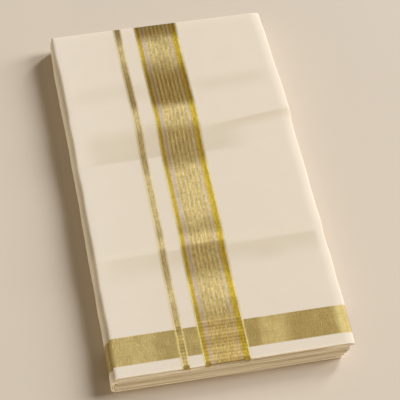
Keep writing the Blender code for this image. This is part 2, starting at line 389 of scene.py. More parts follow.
# %% Where the cotton lies in a crease
Hollow = namedtuple("Hollow", "left right front back tilt "
                              "left_soft right_soft front_soft back_soft dark")
HOLLOWS = [Hollow(*row) for row in (
    (0, 108, 187.5, 224, 0, 24, 30, 2.5, 18, 0.52),
    (24, 108, 188, 222, 0, 50, 30, 3, 16, 0.6),
    (46, 108, 196, 226, 0, 22, 30, 10, 10, 0.45),
    (88, 150, 186.5, 217, 0, 20, 34, 3, 12, 0.62),
    (98, 186, 199, 211.5, 0.105, 40, 6, 11, 2.5, 0.75),
    (0, 108, 72, 102, 0, 16, 10, 26, 2, 0.4),
    (26, 108, 82, 102, 0, 46, 10, 14, 2, 0.5),
    (98, 181, 76, 102, 0.01, 10, 6, 22, 2, 0.6),
    (118, 154, 80, 98, 0, 18, 18, 8, 8, 0.35),
    (98, 176, 240, 263, 0.03, 20, 14, 12, 12, 0.42),
    (0, 70, 242, 268, 0, 16, 14, 12, 12, 0.26),
    (40, 108, 238, 266, 0, 26, 20, 12, 12, 0.34),
    (4, 400, -60, 400, 0, 60, 1, 1, 1, 0.2),
)]


def within(place, low, high, low_soft, high_soft):
    into = smooth_share(place, low, low + low_soft)
    return into * (1 - smooth_share(place, high - high_soft, high))


def between(table, place):
    """A straight line from row to row of a table of (place, value)."""
    for (low, first), (high, second) in zip(table, table[1:]):
        if place <= high:
            return blend(first, second, max(place - low, 0.0) / (high - low))
    return table[-1][1]


def crease_shade(across, along):
    light = 1.0
    across, along = across / MM, along / MM
    for hollow in HOLLOWS:
        level = along - hollow.tilt * (across - hollow.left)
        share = within(across, hollow.left, hollow.right, hollow.left_soft, hollow.right_soft)
        share *= within(level, hollow.front, hollow.back, hollow.front_soft, hollow.back_soft)
        light *= 1 - hollow.dark * share
    return 1 - light


print("shade in the two main creases:",
      [round(crease_shade(60 * MM, place * MM), 2) for place in (96, 200)])

# %% [markdown]
# ## How a leaf of cloth is made
# A leaf is two walls of the folded strip, joined round a fold at each side, so its section
# is a long flat loop. The loop is a circle whose points are set in place, and it is extruded
# from the front of the pack to the back, row by row. It then goes round the end of the wall
# and comes back inside, which gives the cloth its thickness.
#
# Every point also keeps how far it lies round the leaf and how far from the front edge, as
# the cloth was woven. That becomes a UV map, so a woven stripe follows the cloth over a fold.
# Each point keeps its lustre and its shade as well.

# %% Rows and loops
FINE_STEPS = [step * MM for step in (-5, -3, -1.8, -0.9, 0, 0.9, 1.8, 3, 5)]
BACK_STEPS = [step * MM for step in (1, 2.2, 4, 6, 9)]
TOP_ROW, LOWER_ROW, LEAST_ROW = 3 * MM, 5 * MM, 0.6 * MM
FOLD_STEPS = 8
TOP_LEAF_SEED = 1
SEED_STEP, PLY_STEP = 7.3, 3.1            # so that no two plies wander alike
WALL_WANDER, WANDER_LENGTH = 0.7 * MM, 55 * MM
LEAF_LEDGE = (0.0, 0.0, 0.5, 0.45, 0.15, 0.15, 0.6)     # mm at the top, by seed
LIP, LIP_LESS = 0.75 * MM, 0.85 * MM      # of the top leaf's lower wall, less in the middle
LIP_MIDDLE = (50, 172, 45, 14)            # its start, end and how soft each one is, mm


def row_places(spacing, crease_steps):
    wanted = evenly(0.0, PACK_LENGTH, round(PACK_LENGTH / spacing))
    wanted += [crease.left + step for crease in CREASES for step in crease_steps]
    wanted += [PACK_LENGTH - step for step in BACK_STEPS]
    places = [0.0]
    for place in sorted(wanted):
        clear_of_back = place == PACK_LENGTH or place < PACK_LENGTH - LEAST_ROW
        if LEAST_ROW < place - places[-1] and clear_of_back:
            places.append(place)
    return places


def front_end(height, share):
    """Where the pack's front edge lies, at this height and share of the way across."""
    reach = blend(FRONT_REACH_LEFT, FRONT_REACH_RIGHT, 1 - (1 - min(max(share, 0.0), 1.0)) ** 2)
    return -reach * (1 - min(max(height, 0.0) / PACK_HEIGHT, 1.0) ** 1.5)


def framed(across, place, height, back_reach, proud):
    """Where a point of a section lies, and how far it is from the cloth's front edge."""
    share = min(max(across / edge_at(place, "right"), 0.0), 1.0)
    start = front_end(height, share) - proud
    end = PACK_LENGTH + back_reach * min(height / BACK_LEAN_HEIGHT, 1.0) + proud / 2
    along = blend(start, end, skewed(place, share) / PACK_LENGTH)
    return Vector((across - MIDDLE_ACROSS, along - MIDDLE_ALONG, height)), along - start


def spine_run(spine):
    run = [0.0]
    for (x0, z0), (x1, z1) in zip(spine, spine[1:]):
        run.append(run[-1] + math.hypot(x1 - x0, z1 - z0))
    return run


def standing_proud(across, height, side, seed):
    """How far this wall's end sticks out in front of the pack's even edge."""
    spot = Vector((across / WANDER_LENGTH, side * 1.6 + 0.4, seed * SEED_STEP))
    proud = WALL_WANDER * noise.noise(spot)
    if seed == TOP_LEAF_SEED:               # only its lower wall, and most near the corners
        middle = within(across / MM, *LIP_MIDDLE)
        return (0.5 - side / 2) * (proud + LIP - LIP_LESS * middle)
    return proud + LEAF_LEDGE[seed] * MM * height / PACK_HEIGHT


def leaf_loop(place, spine, radius, back_reach, seed):
    """Points round a spine of (across, height), each with its place on the woven cloth,
    its lustre and its shade."""
    last = len(spine) - 1
    run = spine_run(spine)
    slot = last // 3                # where the hidden wall's two ends meet
    first_wall = spine[-1][0] - run[-1]
    turn = evenly(0.0, math.pi, FOLD_STEPS)
    half_round = LEAF / 2 * math.pi
    steps = [(i, math.pi, first_wall - half_round - run[i]) for i in range(slot, 0, -1)]
    steps += [(0, angle - math.pi, first_wall + LEAF / 2 * (angle - math.pi)) for angle in turn]
    steps += [(i, 0.0, first_wall + run[i]) for i in range(1, last)]
    steps += [(last, angle, first_wall + run[last] + LEAF / 2 * angle) for angle in turn]
    steps += [(i, math.pi, first_wall + half_round + 2 * run[last] - run[i])
              for i in range(last - 1, slot, -1)]
    loop = []
    for index, angle, woven_across in steps:
        (x0, z0), (x1, z1) = spine[max(index - 1, 0)], spine[min(index + 1, last)]
        length = math.hypot(x1 - x0, z1 - z0)
        ahead_x, ahead_z = (x1 - x0) / length, (z1 - z0) / length
        out, ahead = radius * math.cos(angle), radius * math.sin(angle)
        across = spine[index][0] - ahead_z * out + ahead_x * ahead
        height = spine[index][1] + ahead_x * out + ahead_z * ahead
        proud = standing_proud(across, height, math.cos(angle), seed)
        point, woven_along = framed(across, place, height, back_reach, proud)
        shade = crease_shade(across, point.y + MIDDLE_ALONG) if seed == TOP_LEAF_SEED else 0.0
        loop.append((point, woven_across - sway(woven_along), woven_along,
                     lustre(woven_across, place), shade))
    return loop


print("rows of the top leaf:", len(row_places(TOP_ROW, FINE_STEPS)))

# %% [markdown]
# The front and back ends of a wall show the four plies of the folded width, one above the
# other. The loop goes round the end of the wall in eight steps, and every second one is
# drawn in, which leaves four rounded edges. Each ply also ends a little short of its
# neighbour or proud of it, as it does when cloth is folded by hand. Then the loop comes back
# through the inside of the leaf and round the front end, where it meets its own start.
#
# From a step away one sees the ends of the leaves and not of the plies: light ledges with
# dark lines between them, where little light gets in. Two tables say how dark an end is at
# each depth below the top, in millimetres: one near the corners and one in the middle, where
# the upper leaves are pressed closer.

# %% Building a leaf
END_SHADE = ((0, 0), (0.3, 0.3), (0.8, 0.9), (1.3, 0.9), (1.7, 0.1), (2.9, 0), (4.6, 0),
             (5.4, 0.9), (7.2, 1), (8, 0.5), (9.2, 0.6), (10.2, 0.9),
             (11.2, 0.8), (12.4, 0.2), (14.5, 0), (17, 0), (19, 0.25), (21, 0.45))
END_SHADE_MIDDLE = ((0, 0), (0.6, 0.1), (1.3, 0.8), (2.4, 1), (3.8, 0.9), (5, 0.4),
                    (6, 0.3), (7.2, 0.4), (8.5, 0.5), (10, 0.8), (11, 0.8),
                    (12.4, 0.3), (15, 0), (17, 0), (19, 0.25), (21, 0.45))
SHADE_MIDDLE = (50, 170, 45, 14)          # as for LIP_MIDDLE
PLIES = 4
PLY_GROOVE = 0.20 * MM
PLY_WANDER, PLY_WANDER_LENGTH = 0.30 * MM, 45 * MM
END_CROWN = 0.35 * MM           # the middle of a leaf's end stands this far out
END_CLOTH = 0.9 * MM            # of the weave that an end takes up
SEAM_REACH = 50 * MM            # wider than any face


def ply_end(depth, across, seed):
    """How far a wall's end stands in at this depth through it, from 0 outside to 1 inside."""
    ply = min(int(depth * PLIES), PLIES - 1)
    place = depth * PLIES - ply
    spot = Vector((across / PLY_WANDER_LENGTH, seed * SEED_STEP + ply * PLY_STEP, 0.5))
    wander = noise.noise(spot)
    groove = PLY_GROOVE * (1 - math.sin(math.pi * place)) - PLY_WANDER * wander * (ply > 0)
    return groove - END_CROWN * (1 - (1 - depth) ** 2)


def end_shade(point, along):
    across = point.x + MIDDLE_ACROSS
    below = (top_height(across, along) - point.z) / MM
    middle = within(across / MM, *SHADE_MIDDLE)
    return blend(between(END_SHADE, below), between(END_SHADE_MIDDLE, below), middle)


def wall_end(outer, inner, direction, seed):
    """The rings through a wall's end, from its outer loop to its inner one."""
    rings = []
    end_along = 0.0 if direction < 0 else PACK_LENGTH
    for step in range(2 * PLIES + 1):
        depth = step / (2 * PLIES)
        ring = []
        for (point, *first), (far_point, *second) in zip(outer, inner):
            point = point.lerp(far_point, depth)
            point.y -= direction * ply_end(depth, point.x, seed)
            woven = [blend(a, b, depth) for a, b in zip(first, second)]
            woven[1] += direction * END_CLOTH * depth       # along
            woven[3] = end_shade(point, end_along)          # shade
            ring.append((point, *woven))
        rings.append(ring)
    return rings


WOVEN = ("across", "along", "lustre", "shade")


def build_leaf(bm, places, spine_of, thickness, back_reach, seed):
    outer, inner = [[leaf_loop(place, spine_of(place), radius, back_reach, seed)
                     for place in places] for radius in (thickness / 2, PLY_GAP / 2)]
    front = wall_end(outer[0], inner[0], -1, seed)
    back = wall_end(outer[-1], inner[-1], 1, seed)
    rings = front[:1] + outer[1:-1] + back + inner[-2:0:-1] + front[::-1]

    floats = bm.verts.layers.float
    for name in WOVEN + ("index",):
        if name not in floats.keys():
            floats.new(name)
    layers, index_layer = [floats[name] for name in WOVEN], floats["index"]
    start = verts = bmesh.ops.create_circle(bm, segments=len(outer[0]), radius=1.0)["verts"]
    for index, vert in enumerate(verts):
        vert[index_layer] = index
    edges = list({edge: None for vert in verts for edge in vert.link_edges})
    for number, ring in enumerate(rings):
        if number:
            grown = bmesh.ops.extrude_edge_only(bm, edges=edges)["geom"]
            verts = [item for item in grown if isinstance(item, bmesh.types.BMVert)]
            new = set(verts)
            edges = [item for item in grown if isinstance(item, bmesh.types.BMEdge)
                     and item.verts[0] in new and item.verts[1] in new]
        for vert in verts:
            point, *woven = ring[round(vert[index_layer])]
            vert.co = point
            for layer, value in zip(layers, woven):
                vert[layer] = value
    bmesh.ops.remove_doubles(bm, verts=start + verts, dist=0.001 * MM)


def add_cloth(name, bm):
    """Turns the built leaves into an object, with the woven places as a UV map.

    Where a loop's end meets its start, the places leap back by its whole length, so a face
    there keeps near its widest place.
    """
    floats = bm.verts.layers.float
    floats.remove(floats["index"])
    across_layer, along_layer = floats["across"], floats["along"]
    bmesh.ops.recalc_face_normals(bm, faces=bm.faces)
    uv_layer = bm.loops.layers.uv.new("woven")
    for face in bm.faces:
        widest = max(loop.vert[across_layer] for loop in face.loops)
        for loop in face.loops:
            across = loop.vert[across_layer]
            loop[uv_layer].uv = (max(across, widest - SEAM_REACH), loop.vert[along_layer])
    cloth = mesh_object(name, bm)
    cloth.data.shade_smooth()
    cloth.data.set_sharp_from_angle(angle=math.radians(60))
    print(name, "triangles:", sum(len(face.vertices) - 2 for face in cloth.data.polygons))
    return cloth


def leaf_cut(spine_of):
    """The flat size of one leaf's cloth: once round its section, and the pack's length."""
    run = spine_run(spine_of(PACK_LENGTH / 2))[-1]
    return 2 * run + math.pi * LEAF / 2, PACK_LENGTH


# %% [markdown]
# ## The leaves
# The top leaf lies flat and rounds over at both sides. The next one is wrapped: it goes
# under the whole pack, round its left side and back over the top, which is what holds the
# pack together. Inside it lie the rest, of which only the ends and the right folds show.

# %% The top leaf
TOP_STEPS = 44
TOP_FOLD_OUT = 0.5 * MM                   # the real fold bulges past the plain CAD solid


def places_across(place, first, last, steps):
    """Places across a leaf's flat, closer together where its two sides round down."""
    low, high = edge_at(place, "left") + LEFT_ROUND, edge_at(place, "right") - RIGHT_ROUND
    near = [blend(first, low, share) for share in (0.0, 0.25, 0.5, 0.75)]
    far = [blend(high, last, share) for share in (0.2, 0.4, 0.6, 0.8, 1.0)]
    return near + evenly(low, high, steps) + far


def flat_spine(depth, ends, steps):
    def spine(place):
        left, right = ends(place)
        flat = places_across(place, left + LEAF / 2, right - LEAF / 2, steps)
        return [(x, height_at(x, place) - depth - LEAF / 2) for x in flat]
    return spine


def top_ends(place):
    return edge_at(place, "left") - TOP_FOLD_OUT, edge_at(place, "right")


bm = bmesh.new()
top_spine = flat_spine(0.0, top_ends, TOP_STEPS)
build_leaf(bm, row_places(TOP_ROW, FINE_STEPS), top_spine, LEAF, TOP_BACK_REACH, TOP_LEAF_SEED)
top_leaf = add_cloth("top_leaf_cloth", bm)

# %% The wrapped leaf
COARSE_STEPS = FINE_STEPS[1::2]
WRAP_SEED, OVER_STEPS, UNDER_STEPS, BEND_STEPS = 2, 24, 12, 16
WRAP_TUCK = 0.3 * MM                      # keeps its bend inside the CAD solid's


def bend_reach(rise):
    """How far a wrap's bend stands out, from 0 at its flat walls to 1, at this rise."""
    return (1 - min(abs(rise), 1.0) ** BEND_POWER) ** (1 / BEND_POWER)


def wrap_spine(place):
    depth = LEAF + LEAF_GAP
    right = edge_at(place, "right")
    centre = edge_at(place, "wrap") + LEAF / 2 + BEND_DEPTH + WRAP_TUCK
    flat = places_across(place, centre, right - WRAP_RIGHT - LEAF / 2, OVER_STEPS)
    over = [(x, height_at(x, place) - depth - LEAF / 2) for x in flat]
    floor_right = right - WRAP_FLOOR_RIGHT - LEAF / 2
    under = [(x, LEAF / 2) for x in evenly(floor_right, centre, UNDER_STEPS)]
    middle, half = (over[0][1] + LEAF / 2) / 2, (over[0][1] - LEAF / 2) / 2
    bend = []
    for step in range(1, BEND_STEPS):
        tall = -math.cos(math.pi * step / BEND_STEPS)
        rise = math.copysign(abs(tall) ** (2 / BEND_POWER), tall)
        bend.append((centre - BEND_DEPTH * bend_reach(rise), middle + half * rise))
    return under + bend + over


bm = bmesh.new()
lower_places = row_places(LOWER_ROW, COARSE_STEPS)
build_leaf(bm, lower_places, wrap_spine, LEAF, WRAP_BACK_REACH, WRAP_SEED)
wrapped_leaf = add_cloth("wrapped_leaf_cloth", bm)

# %% The inner leaves
INNER_DEPTH = 2 * (LEAF + LEAF_GAP)
STACK_BASE = LEAF + LEAF_GAP
STACK_LEAF = 2.3 * MM           # these are pressed a little thinner
INNER_SEED, STACK_SEED, INNER_STEPS = 3, 4, 20


def inner_ends(place):
    left = edge_at(place, "wrap") + LEAF + LEAF_GAP + INNER_LEFT
    return left, edge_at(place, "right") - INNER_RIGHT


bm = bmesh.new()
inner_spine = flat_spine(INNER_DEPTH, inner_ends, INNER_STEPS)
build_leaf(bm, lower_places, inner_spine, LEAF, WRAP_BACK_REACH, INNER_SEED)
inner_leaf = add_cloth("inner_leaf_cloth", bm)


def stack_spine(leaf):
    """Leaf 0 is at the bottom of those that share one solid in the CAD model."""
    level = (leaf + 0.5) / STACK_LEAVES

    def spine(place):
        right = edge_at(place, "right")
        centre = edge_at(place, "wrap") + LEAF / 2 + BEND_DEPTH
        reach = (BEND_DEPTH - LEAF / 2 - LEAF_GAP) * bend_reach(0.95 * (1 - level))
        left_end = centre - reach + LEAF / 2
        right_end = right - blend(WRAP_FLOOR_RIGHT, STACK_RIGHT, level ** 0.6) - LEAF / 2
        flat = places_across(place, left_end, right_end, INNER_STEPS)
        path = []
        for x in flat:
            top = height_at(x, place) - INNER_DEPTH - LEAF - LEAF_GAP
            path.append((x, blend(STACK_BASE, top, level)))
        return path
    return spine


bm = bmesh.new()
for leaf in range(STACK_LEAVES):
    build_leaf(bm, lower_places, stack_spine(leaf), STACK_LEAF, WRAP_BACK_REACH, STACK_SEED + leaf)
inner_stack = add_cloth("inner_stack_cloth", bm)

# %% [markdown]
# ## Loose ends of gold thread
# Where the thin line and the two solid edges of the band reach the selvedge, their gold
# threads end. They stick out a millimetre and hang two down over the front. Each one is a
# thin tube, extruded along a short curve that tips over the edge.

# %% Thread ends
THREAD_RADIUS, THREAD_SIDES = 0.20 * MM, 6
LENGTH_VARIES, LEAN = 0.35, 0.8           # shares of a thread's own length
Tuft = namedtuple("Tuft", "left right threads")
TUFTS = (
    Tuft(51.9 * MM, 56.3 * MM, 7),
    Tuft(69.2 * MM, 72.6 * MM, 6),
    Tuft(99.7 * MM, 103.2 * MM, 6),
)
# out from the leaf's front edge and up from its top, mm
HANG = ((-1.4, 0.12), (-0.2, 0.2), (0.3, 0.0), (0.6, -0.55), (0.8, -1.3), (0.95, -2.1))


def hang_thread(bm, across, length, lean):
    top = top_height(across, 0.0)
    ring = bmesh.ops.create_circle(bm, cap_ends=True, segments=THREAD_SIDES, radius=THREAD_RADIUS)
    points = [Vector((across - MIDDLE_ACROSS + lean * max(out, 0.0) * MM,
                      -MIDDLE_ALONG - out * length * MM, top + up * length * MM))
              for out, up in HANG]
    turn = (points[1] - points[0]).to_track_quat("Z", "X")
    for vert in ring["verts"]:
        vert.co = points[0] + turn @ vert.co
    cap = ring["verts"][0].link_faces[0]
    for before, point in zip(points, points[1:]):
        grown = bmesh.ops.extrude_face_region(bm, geom=[cap])["geom"]
        old, cap = cap, next(item for item in grown if isinstance(item, bmesh.types.BMFace))
        if before is not points[0]:
            bmesh.ops.delete(bm, geom=[old], context="FACES_ONLY")
        aim = (point - before).to_track_quat("Z", "X")
        for vert in cap.verts:
            vert.co = point + aim @ turn.inverted() @ (vert.co - before)
        turn = aim


bm = bmesh.new()
for tuft in TUFTS:
    for across in evenly(tuft.left, tuft.right, tuft.threads - 1):
        uneven = noise.noise(Vector((across / MM * 1.7, 0.3, 0.9)))
        hang_thread(bm, across, 1.0 + LENGTH_VARIES * uneven, LEAN * uneven)
bmesh.ops.recalc_face_normals(bm, faces=bm.faces)
thread_ends = mesh_object("zari_thread_ends", bm)
thread_ends.data.shade_smooth()
print("thread ends:", sum(tuft.threads for tuft in TUFTS))

# %% [markdown]
# ## Kasavu cotton
# The cloth is fine unbleached cotton in plain weave. Its gold is zari, a flat metal strip
# wound on a yarn, and it is woven in, not printed: as weft it makes the thin line and the
# broad band across the end of the cloth, and as warp the border along its selvedge. Solid
# zari is deep yellow, and mixed with white cotton it turns pale and silvery.
#
# All stripes are drawn from one table of places on the woven cloth, in millimetres. A row
# says how much gold lies there, how much of it is solid, how much is mixed with white, and
# how much of the bright thread that outlines a stripe shows.

# %% Where the gold lies
Stop = namedtuple("Stop", "place gold deep pale outline")
STRIPES = [Stop(*row) for row in (
    (49.6, 0, 0, 0.4, 0),
    (50.5, 0, 0.2, 0.4, 0.35),
    (51.4, 0.1, 0.3, 0.2, 0.7),
    (52.05, 1, 0.35, 0, 0),
    (52.5, 1, 0.35, 0, 0),
    (53.2, 1, 0.1, 0.45, 0),
    (54.6, 1, 0.1, 0.45, 0),
    (55.2, 1, 0.25, 0, 0),
    (55.6, 1, 0.25, 0, 0),
    (56.1, 0.05, 0.2, 0.3, 0.75),
    (57.4, 0, 0, 0.4, 0),
    (66.4, 0, 0, 0.2, 0),
    (67.9, 0, 0.8, 0, 0.1),
    (68.7, 0.1, 1, 0, 1),
    (69.3, 1, 0.94, 0.6, 0),
    (71.7, 1, 0.94, 0.6, 0),
    (73.4, 1, 0, 1, 0),
    (75.5, 1, 0, 1, 0),
    (76.9, 1, 0, 0, 0),
    (94.6, 1, 0, 0, 0),
    (96.0, 1, 0, 0.6, 0),
    (97.9, 1, 0, 0.6, 0),
    (99.7, 1, 1, 0, 0),
    (103.1, 1, 1, 0, 0),
    (103.7, 0.1, 0.8, 0.1, 0.8),
    (104.8, 0, 0.3, 0.3, 0.1),
    (105.8, 0, 0, 0.3, 0),
)]
BORDER_START_MM, BORDER_END_MM, BORDER_SOFT_MM = 9.5, 33.8, 0.3
HIGHLIGHT_FROM_MM, HIGHLIGHT_SOFT_MM = 174.0, 6.0     # from here a painted highlight turns the border's gold pale, towards its right fold
# Over the border the ribs raise or lower the painted shine along the pack, each place with its
# share.
Rib = namedtuple("Rib", "place shine")
RIBS_OVER_BORDER = [Rib(*row) for row in (
    (0, 0.8), (2.5, 1.2), (5, 1.7), (9, 1.2), (12, 1.35), (15, 0.78), (20, 0.68),
    (25.5, 1.42), (28, 1.1), (31.5, 0.62), (35, 0.85), (37.3, 1.3), (39.5, 1), (45, 1),
)]
RIB_MOST = 2.0                              # more than any shine in that table


def column_at(tree, place, table, column, most=1.0):
    """What one column of a table says at a place, as a share of its most."""
    low, high = table[0].place, table[-1].place
    share = add(tree, RANGE, place, low, high)
    said = add(tree, "ShaderNodeValToRGB", share)
    elements = said.node.color_ramp.elements
    for row in table[1:-1]:
        elements.new((row.place - low) / (high - low))
    for element, row in zip(elements, table):
        element.position = (row.place - low) / (high - low)
        grey = getattr(row, column) / most
        element.color = (grey, grey, grey, 1.0)
    return said


gold_places = [stop.place for stop in STRIPES if stop.gold == 1.0]
print("gold, mm across:", min(gold_places), "to", max(gold_places))

# %% [markdown]
# The weave is really about 0.3 mm apart, which is finer than a pixel, so it is drawn at
# 0.5 mm. Each float of gold thread catches the light on its own, so the gold is broken into
# small flecks that lie along their thread. They too are drawn coarser than the real floats.

# %% Colours and scales of the yarns
COTTON_LOW, COTTON_HIGH = "#EADCC7", "#EDE0CC"
CREASE_TINT = (0.61, 0.55, 0.40, 1.0)     # what twice the full shade leaves of each colour
ZARI_DEEP, ZARI_MIDDLE, ZARI_PALE = "#D8B93C", "#E3CA78", "#E2CEB0"
# The second colour is a painted highlight on the border's gold near its right fold; the number is
# how far the gold is mixed towards it.
ZARI_BORDER, ZARI_PAINTED_HIGHLIGHT, HIGHLIGHT_SHARE = "#D6BE7C", "#E4D99E", 0.5
OUTLINE_THREAD = "#E8D98E"
ZARI_CROSSED = (0.95, 0.89, 0.74, 1.0)    # gold weft over gold warp is deeper by this much
SHINE_LOST = (0.42, 0.35, 0.20, 1.0)      # what painted reflection leaves of each colour where no shine is left

WEAVE_MM, RIB_MM = 0.5, 3.0
FLECK_WIDTH, FLECK_LENGTH = 0.9 * MM, 2.6 * MM
SLUB, PATCH, UNEVEN = 16.7 * MM, 9.1 * MM, 2.38 * MM      # in the cotton, shine and stripes
PATCH_LEAST, PATCH_MORE = 0.55, 0.9
UNEVEN_REACH_MM = 0.35                    # how far a stripe's edge wanders to each side
WEAVE_RELIEF, ZARI_RELIEF, FLECK_RELIEF = 0.012, 0.05, 0.03                 # millimetres
COTTON_ROUGH, ZARI_ROUGH, HIGHLIGHT_ROUGHER, ZARI_METALLIC = 0.82, 0.42, 0.15, 0.6
BORDER_FLECKED, BORDER_RIBBED = 0.10, 0.02
print("flecks, mm:", round(FLECK_WIDTH / MM, 1), "by", round(FLECK_LENGTH / MM, 1))

# %% [markdown]
# A material for cloth starts from where a point lies on it, and the UV map says that. Both
# sorts of zari are handed on as one bundle: how much gold, its colour and shine, and how
# strongly it is flecked and ribbed. The border makes the first bundle.

# %% A place on the cloth, and the border there
Spot = namedtuple("Spot", "woven across along")         # in metres, then twice in millimetres
Zari = namedtuple("Zari", "gold colour shine flecked ribbed")


def spot_on_cloth(tree):
    woven = add(tree, "ShaderNodeUVMap", uv_map="woven")
    split = add(tree, "ShaderNodeSeparateXYZ", woven).node.outputs
    across, along = [add(tree, MATHS, split[axis], 1 / MM, **TIMES) for axis in "XY"]
    return Spot(woven, across, along)


def wave(tree, place, length_mm, start=0.0):
    """A sine along one direction of the cloth."""
    turns = add(tree, MATHS, place, 2 * math.pi / length_mm, start, **TIMES_PLUS)
    return add(tree, MATHS, turns, operation="SINE")


def patchy_shine(tree, spot):
    """The painted shine kept on the mesh as its lustre, a little uneven."""
    kept = add(tree, "ShaderNodeAttribute", attribute_name="lustre").node.outputs["Fac"]
    patchy = add(tree, NOISE, spot.woven, 1 / PATCH, 1.0)
    patchy = add(tree, MATHS, patchy, PATCH_MORE, PATCH_LEAST, **TIMES_PLUS)
    return add(tree, MATHS, kept, patchy, **TIMES)


def border_zari(tree, spot):
    """The border's zari, and where a painted highlight turns its gold pale."""
    start, end, soft = BORDER_START_MM, BORDER_END_MM, BORDER_SOFT_MM
    into = add(tree, RANGE, spot.along, start - soft, start + soft)
    out = add(tree, RANGE, spot.along, end + soft, end - soft)
    gold = add(tree, MATHS, into, out, **TIMES)
    # Painted highlight: towards the right fold the border's gold is mixed towards a pale gold.
    highlit = add(tree, RANGE, spot.across, HIGHLIGHT_FROM_MM, HIGHLIGHT_FROM_MM + HIGHLIGHT_SOFT_MM)
    highlit = add(tree, MATHS, highlit, gold, **TIMES)
    share = add(tree, MATHS, highlit, HIGHLIGHT_SHARE, **TIMES)
    colour = add(tree, MIX, share, linear(ZARI_BORDER), linear(ZARI_PAINTED_HIGHLIGHT), **COLOURS)
    return Zari(gold, colour, patchy_shine(tree, spot), BORDER_FLECKED, BORDER_RIBBED), highlit


print("border, mm along:", BORDER_START_MM, "to", BORDER_END_MM)

# %% [markdown]
# The thin line and the band lie over that. Fine lines run down both, because gold and white
# threads alternate in groups. They show as grooves where the gold is dull: painted shade
# darkens the band's fine lines, more where the painted shine is low, and painted shade
# darkens the thin line towards its sides. Over the border gold crosses gold: the colour is
# deeper there, the groove shade stops, and ribs run across instead.

# %% The thin line and the band
FINE_LINE_MM, FINE_LINE_START = 3.4, -0.7
FINE_PALE, FINE_PALE_SWING = 0.26, 0.40
CLEAR_AFTER_MM = 12.0                     # past the border, over which the crossing ends
BAND_FLECKED, PALE_LESS_FLECKED, CROSSED_RIBBED = 0.26, 0.7, 0.11
# Painted shade in the band's fine grooves: its least depth, how much more where the painted shine
# is gone, and how fast that grows.
GROOVE_SHADE_LEAST, GROOVE_SHADE_DULL, GROOVE_SHADE_POWER = 0.05, 0.18, 2.5
LINE_MIDDLE_MM, LINE_REACH_MM = 53.8, 6.0
# Painted shade towards the thin line's sides: none within the first distance of its middle, full
# beyond the second, where this much of the colour is left.
LINE_UNSHADED_MM, LINE_SHADED_MM, LINE_SIDE_SHADE = 0.9, 1.8, 0.82
Stripe = namedtuple("Stripe", "place gold deep pale outline line clear crossed")


def stripe_at(tree, spot):
    uneven = add(tree, NOISE, spot.woven, 1 / UNEVEN, 2.0)
    uneven = add(tree, MATHS, uneven, 2 * UNEVEN_REACH_MM, -UNEVEN_REACH_MM, **TIMES_PLUS)
    place = add(tree, MATHS, spot.across, uneven, operation="ADD")
    yarns = [column_at(tree, place, STRIPES, name) for name in ("gold", "deep", "pale", "outline")]
    line = wave(tree, place, FINE_LINE_MM, FINE_LINE_START)
    clear = add(tree, RANGE, spot.along, BORDER_END_MM, BORDER_END_MM + CLEAR_AFTER_MM)
    crossed = add(tree, MATHS, 1.0, clear, operation="SUBTRACT")
    return Stripe(place, *yarns, line, clear, crossed)


def stripe_colour(tree, stripe):
    fine = add(tree, MATHS, stripe.line, FINE_PALE_SWING, FINE_PALE, **TIMES_PLUS)
    colour = add(tree, MIX, fine, linear(ZARI_MIDDLE), linear(ZARI_PALE), **COLOURS)
    colour = add(tree, MIX, stripe.pale, colour, linear(ZARI_PALE), **COLOURS)
    colour = add(tree, MIX, stripe.crossed, colour, ZARI_CROSSED, **MULTIPLIED)
    return add(tree, MIX, stripe.deep, colour, linear(ZARI_DEEP), **COLOURS)


def ribbed_shine(tree, spot, stripe, shine):
    """Where a stripe crosses the border, its painted shine follows a table of ribs."""
    rib = column_at(tree, spot.along, RIBS_OVER_BORDER, "shine", RIB_MOST)
    rib = add(tree, MATHS, rib, RIB_MOST, **TIMES)
    ribbed = add(tree, MATHS, shine, rib, **TIMES)
    more = add(tree, MATHS, ribbed, shine, operation="SUBTRACT")
    return add(tree, MATHS, more, stripe.gold, shine, **TIMES_PLUS)


def stripe_groove_shade(tree, spot, stripe, shine):
    """What the painted shade of the grooves leaves of the colour: fine ones in the band, two sides
    of the line.
    """
    clear = add(tree, MATHS, stripe.gold, stripe.clear, **TIMES)
    dull = add(tree, MATHS, 1.0, shine, operation="SUBTRACT")
    dull = add(tree, MATHS, dull, GROOVE_SHADE_POWER, operation="POWER")
    depth = add(tree, MATHS, dull, GROOVE_SHADE_DULL, GROOVE_SHADE_LEAST, **TIMES_PLUS)
    depth = add(tree, MATHS, depth, clear, **TIMES)
    in_band = add(tree, MATHS, stripe.line, depth, 1.0, **TIMES_PLUS)
    aside = add(tree, MATHS, stripe.place, LINE_MIDDLE_MM, operation="SUBTRACT")
    aside = add(tree, MATHS, aside, operation="ABSOLUTE")
    on_line = add(tree, RANGE, aside, LINE_UNSHADED_MM, LINE_SHADED_MM, 1.0, LINE_SIDE_SHADE)
    near = add(tree, MATHS, spot.across, LINE_MIDDLE_MM + LINE_REACH_MM, operation="LESS_THAN")
    near = add(tree, MATHS, near, clear, **TIMES)
    return add(tree, MIX, near, in_band, on_line, **COLOURS)


